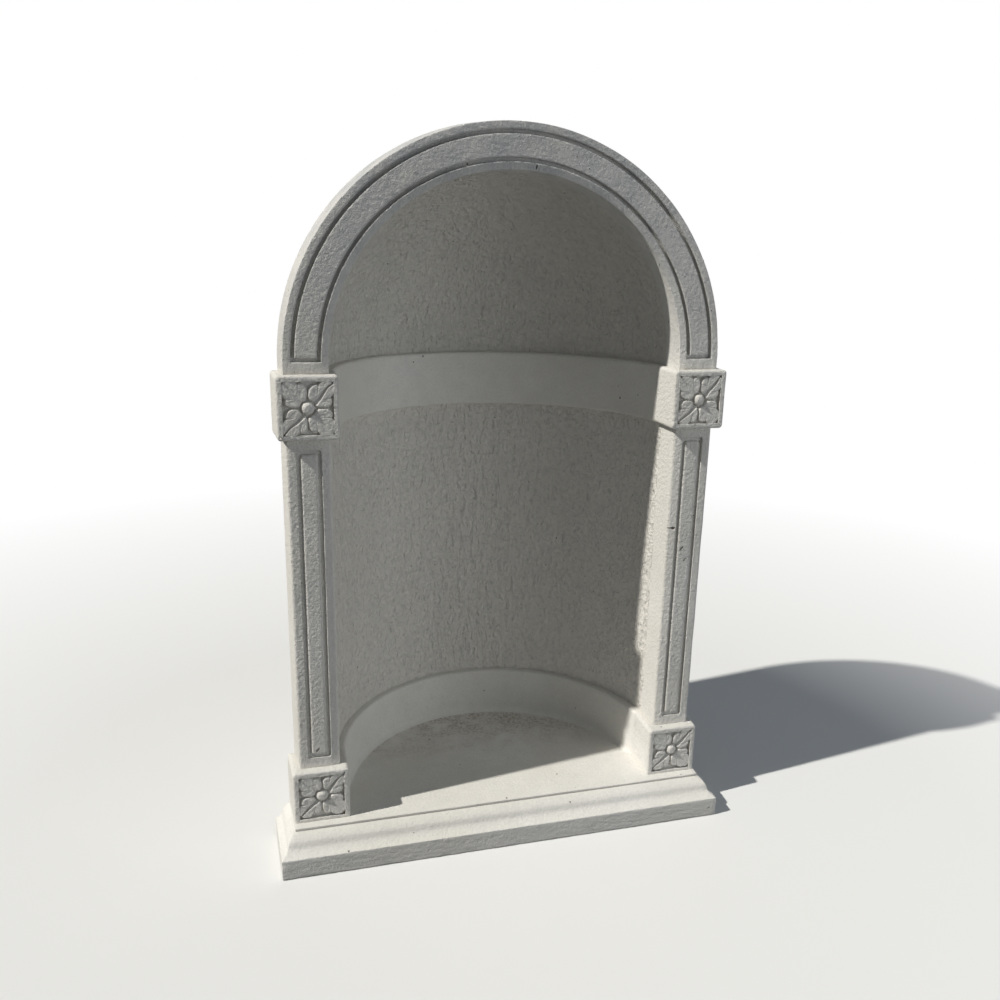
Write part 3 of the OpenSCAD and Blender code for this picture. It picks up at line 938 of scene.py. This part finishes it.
# The fine cuts keep clear of the rims, so that the rims can be rounded
lines = rings[1:-1]
for start, end in ((rings[0] + RIM_PAD, rings[1] - RIM_PAD / 2),
                   (rings[2] + RIM_PAD / 2, rings[3] - RIM_PAD / 2),
                   (rings[4] + RIM_PAD / 2, rings[5] - RIM_PAD)):
    count = round((end - start) / SAND_CUTS)
    lines += [start + (end - start) * i / count for i in range(count + 1)]
for ring in lines:
    bpy.ops.mesh.select_all(action="SELECT")
    bpy.ops.mesh.bisect(plane_co=(ring, 0, 0), plane_no=(1, 0, 0))
bpy.ops.mesh.select_mode(type="FACE")
bpy.ops.mesh.select_all(action="SELECT")
bpy.ops.mesh.extrude_region_move(TRANSFORM_OT_translate={"value": (0, 0, springing - arch_low.z)})
foot_angle = (groove_foot - springing) / middle_r
end_angle = GROOVE_WIDTH / middle_r
pad_angle = RIM_PAD / middle_r
main_angle = math.pi - 2 * (foot_angle + end_angle + pad_angle)
for angle, steps in ((foot_angle, 1), (end_angle, 1), (pad_angle, 1), (main_angle, ARCH_STEPS),
                     (pad_angle, 1), (end_angle, 1), (foot_angle, 1)):
    bpy.ops.mesh.spin(steps=steps, angle=angle, center=(0, 0, springing), axis=(0, 1, 0))
bpy.ops.mesh.extrude_region_move(TRANSFORM_OT_translate={"value": (0, 0, arch_low.z - springing)})
bpy.ops.mesh.select_all(action="SELECT")
bpy.ops.mesh.remove_doubles(threshold=TOUCH)
bpy.ops.mesh.normals_make_consistent(inside=False)


def ring_place(corners):
    """Distance from the arch's centre and turn from its nearer foot, at the middle of some corners."""
    middle = sum(corners, Vector()) / len(corners)
    rise = middle.z - springing
    return math.hypot(middle.x, rise), math.atan2(rise, abs(middle.x))


def in_arch_groove(corners):
    """Whether a face lies in the groove round the arch's panel."""
    distance, turn = ring_place(corners)
    if turn < foot_angle:
        return False
    low_groove = rings[1] < distance < rings[2]
    high_groove = rings[3] < distance < rings[4]
    return low_groove or high_groove or (turn < foot_angle + end_angle and rings[1] < distance < rings[4])


faces_towards((0, -1, 0), in_arch_groove)
bpy.ops.mesh.extrude_region_move(TRANSFORM_OT_translate={"value": (0, ARCH_GROOVE_DEPTH, 0)})


def on_arch_face(ends):
    """Whether an edge lies in the arch's front face."""
    return all(p.y < TOUCH for p in ends)


def by_groove(ends):
    """Whether an edge lies among the grooves' rims, off the arch's outer and inner edges."""
    return rings[1] - NEAR < ring_place(ends)[0] < rings[4] + NEAR


sharp_edges(lambda ends: on_arch_face(ends) and by_groove(ends), degrees=60)
round_over(ARCH_RIM_ROUND, segments=2)
sharp_edges(lambda ends: on_arch_face(ends) and not by_groove(ends)
            and min(p.z for p in ends) < max(p.z for p in ends), degrees=60)
round_over(ARCH_ROUND, segments=4)
close(arch, degrees=40)
sand_face(arch, 0)


def near_opening(point):
    """1 at the arch's inner edge, falling to 0 across its inner border."""
    from_centre = math.hypot(point.x, max(0.0, point.z - springing))
    return 1 - (from_centre - opening_half) / ARCH_BORDER


wear_edge(arch, ARCH_ROUND + NEAR, near_opening)
uneven(arch, CASTING_WAVE, CASTING_WAVE_RISE)
chip(arch, CRACK_PLACE, CRACK_SIZE, CRACK_SLANT)
# Dirt and painted shade in its corners; grey weathering and painted shade towards the top
arch_stone = cast_stone("weathered_and_shaded_arch_stone", grain_rise=0.0026, dirt_and_shade=0.25, weather_and_shade=0.80)
dress(arch, arch_stone, "cast_stone", "arch")

# Half dome
# The rough quarter sphere behind the arch, on a short upright foot over the band. It is a
# shell of the same stone, cast against the arch and left plain at the back.
DOME_SPLITS = 8
DOME_SMOOTH_DEGREES = 32
# A darker cream than the wall's: painted shade for the downward-facing dome
DOME_SHADED_CREAM = (0.70, 0.68, 0.63)
SHELL_THICKNESS = shell_r - wall_r
bpy.ops.object.select_all(action="DESELECT")
bpy.ops.mesh.primitive_ico_sphere_add(subdivisions=DOME_SPLITS, radius=wall_r,
                                      location=(0, axis_y, springing))
dome = begin("half_dome")
for plane, normal in (((0, frame_back, 0), (0, 1, 0)), ((0, 0, springing), (0, 0, 1))):
    bpy.ops.mesh.select_all(action="SELECT")
    bpy.ops.mesh.bisect(plane_co=plane, plane_no=normal, clear_inner=True)
pick("EDGE", lambda ends, _: all(p.z < springing + TOUCH for p in ends))
bpy.ops.mesh.extrude_region_move(TRANSFORM_OT_translate={"value": (0, 0, band_high.z - SEAT - springing)})
close(dome)
thicken = dome.modifiers.new("shell", "SOLIDIFY")
thicken.thickness = SHELL_THICKNESS
thicken.offset = 1.0
bpy.ops.object.modifier_apply(modifier=thicken.name)
bpy.ops.object.shade_smooth_by_angle(angle=math.radians(DOME_SMOOTH_DEGREES))
rough_inside(dome, wall_r, springing)
# The dome's material carries painted shade in its darker cream
dress(dome, rough_stone("rough_dome_stone_painted_shade", DOME_SHADED_CREAM), "rough_stone",
      "conch_right", "conch_back", "conch_left")

# Studio
# A pale floor that fades to white away from the niche, a lamp from the upper left, a
# wide weak card at the right and an even fill from all round.
FLOOR_SIZE = 40
FLOOR_DROP = 0.0008
FLOOR_COLOUR = (0.86, 0.86, 0.85)
BOUNCE_COLOUR = (0.14, 0.14, 0.14)
FADE_NEAR, FADE_FAR = 0.9, 2.6
KEY_STRENGTH = 3.45
KEY_ANGLE = 1.2
KEY_FROM = (-1.0, -0.146, 0.97)
KEY_COLOUR = (1.0, 0.975, 0.92)
FILL_COLOUR = (0.77, 0.88, 1.0)
FILL_STRENGTH = 0.13
CARD_PLACE = (2.2, -2.2, 0.55)
CARD_AIM = (0, 0, 0.5)
CARD_SIZE = 2.0
CARD_COLOUR = (0.92, 0.96, 1.0)
CARD_POWER = 25
bpy.ops.object.select_all(action="DESELECT")
bpy.ops.mesh.primitive_plane_add(size=FLOOR_SIZE, location=(0, 0, -FLOOR_DROP))
ground = bpy.context.active_object
ground.name = "studio_floor"
paper = bpy.data.materials.new("pale_paper")
paper.use_nodes = True
tree = paper.node_tree
tree.nodes["Principled BSDF"].inputs["Roughness"].default_value = 1.0


def seen_rays(tree):
    """1 for the rays that show the background, to the eye or in a reflection, and 0 for light."""
    path = tree.nodes.new("ShaderNodeLightPath").outputs
    mirrored = times(tree, path["Is Glossy Ray"], path["Is Transmission Ray"], "MAXIMUM")
    return times(tree, path["Is Camera Ray"], mirrored, "MAXIMUM")


by_eye = seen_rays(tree)
floor_colour = tint(tree, by_eye, BOUNCE_COLOUR, FLOOR_COLOUR)
tree.links.new(floor_colour, tree.nodes["Principled BSDF"].inputs["Base Color"])
white = tree.nodes.new("ShaderNodeEmission")
distance = tree.nodes.new("ShaderNodeVectorMath")
distance.operation = "LENGTH"
tree.links.new(tree.nodes.new("ShaderNodeTexCoord").outputs["Object"], distance.inputs[0])
away = between(tree, distance.outputs["Value"], FADE_NEAR, FADE_FAR)
seen = times(tree, away, by_eye)
fade = tree.nodes.new("ShaderNodeMixShader")
tree.links.new(seen, fade.inputs["Fac"])
tree.links.new(tree.nodes["Principled BSDF"].outputs["BSDF"], fade.inputs[1])
tree.links.new(white.outputs["Emission"], fade.inputs[2])
tree.links.new(fade.outputs["Shader"], tree.nodes["Material Output"].inputs["Surface"])
ground.data.materials.append(paper)

bpy.ops.object.light_add(type="SUN")
key = bpy.context.active_object
key.name = "key_light"
key.data.energy = KEY_STRENGTH
key.data.color = KEY_COLOUR
key.data.angle = math.radians(KEY_ANGLE)
key.rotation_euler = Vector(KEY_FROM).to_track_quat("Z", "Y").to_euler()
bpy.ops.object.light_add(type="AREA", location=CARD_PLACE)
card = bpy.context.active_object
card.name = "card_light"
card.data.energy = CARD_POWER
card.data.color = CARD_COLOUR
card.data.size = CARD_SIZE
card.rotation_euler = (Vector(CARD_PLACE) - Vector(CARD_AIM)).to_track_quat("Z", "Y").to_euler()
sky = bpy.data.worlds.new("studio_fill")
bpy.context.scene.world = sky
sky.use_nodes = True
tree = sky.node_tree
fill = tree.nodes["Background"]
fill.inputs["Color"].default_value = (*FILL_COLOUR, 1)
fill.inputs["Strength"].default_value = FILL_STRENGTH
backdrop = tree.nodes.new("ShaderNodeBackground")
backdrop.inputs["Color"].default_value = (1, 1, 1, 1)
choose = tree.nodes.new("ShaderNodeMixShader")
tree.links.new(seen_rays(tree), choose.inputs["Fac"])
tree.links.new(fill.outputs["Background"], choose.inputs[1])
tree.links.new(backdrop.outputs["Background"], choose.inputs[2])
tree.links.new(choose.outputs["Shader"], tree.nodes["World Output"].inputs["Surface"])
bpy.context.scene.view_settings.view_transform = "Standard"

# Camera
# It stands to the left of the niche at about its shoulder height, looks down a little and
# is rolled by about a degree, as when it is held by hand.
CAMERA_PLACE = (-0.3967, -1.3733, 1.0056)
CAMERA_YAW = 0.2693
CAMERA_PITCH = -0.2677
CAMERA_ROLL = 0.022
CAMERA_LENS = 32.175
CAMERA_SENSOR = 36
bpy.ops.object.camera_add()
camera = bpy.context.active_object
camera.data.lens = CAMERA_LENS
camera.data.sensor_width = CAMERA_SENSOR
camera.matrix_world = (Matrix.Translation(CAMERA_PLACE) @ Matrix.Rotation(-CAMERA_YAW, 4, "Z")
                       @ Matrix.Rotation(math.pi / 2 + CAMERA_PITCH, 4, "X")
                       @ Matrix.Rotation(CAMERA_ROLL, 4, "Z"))
bpy.context.scene.camera = camera
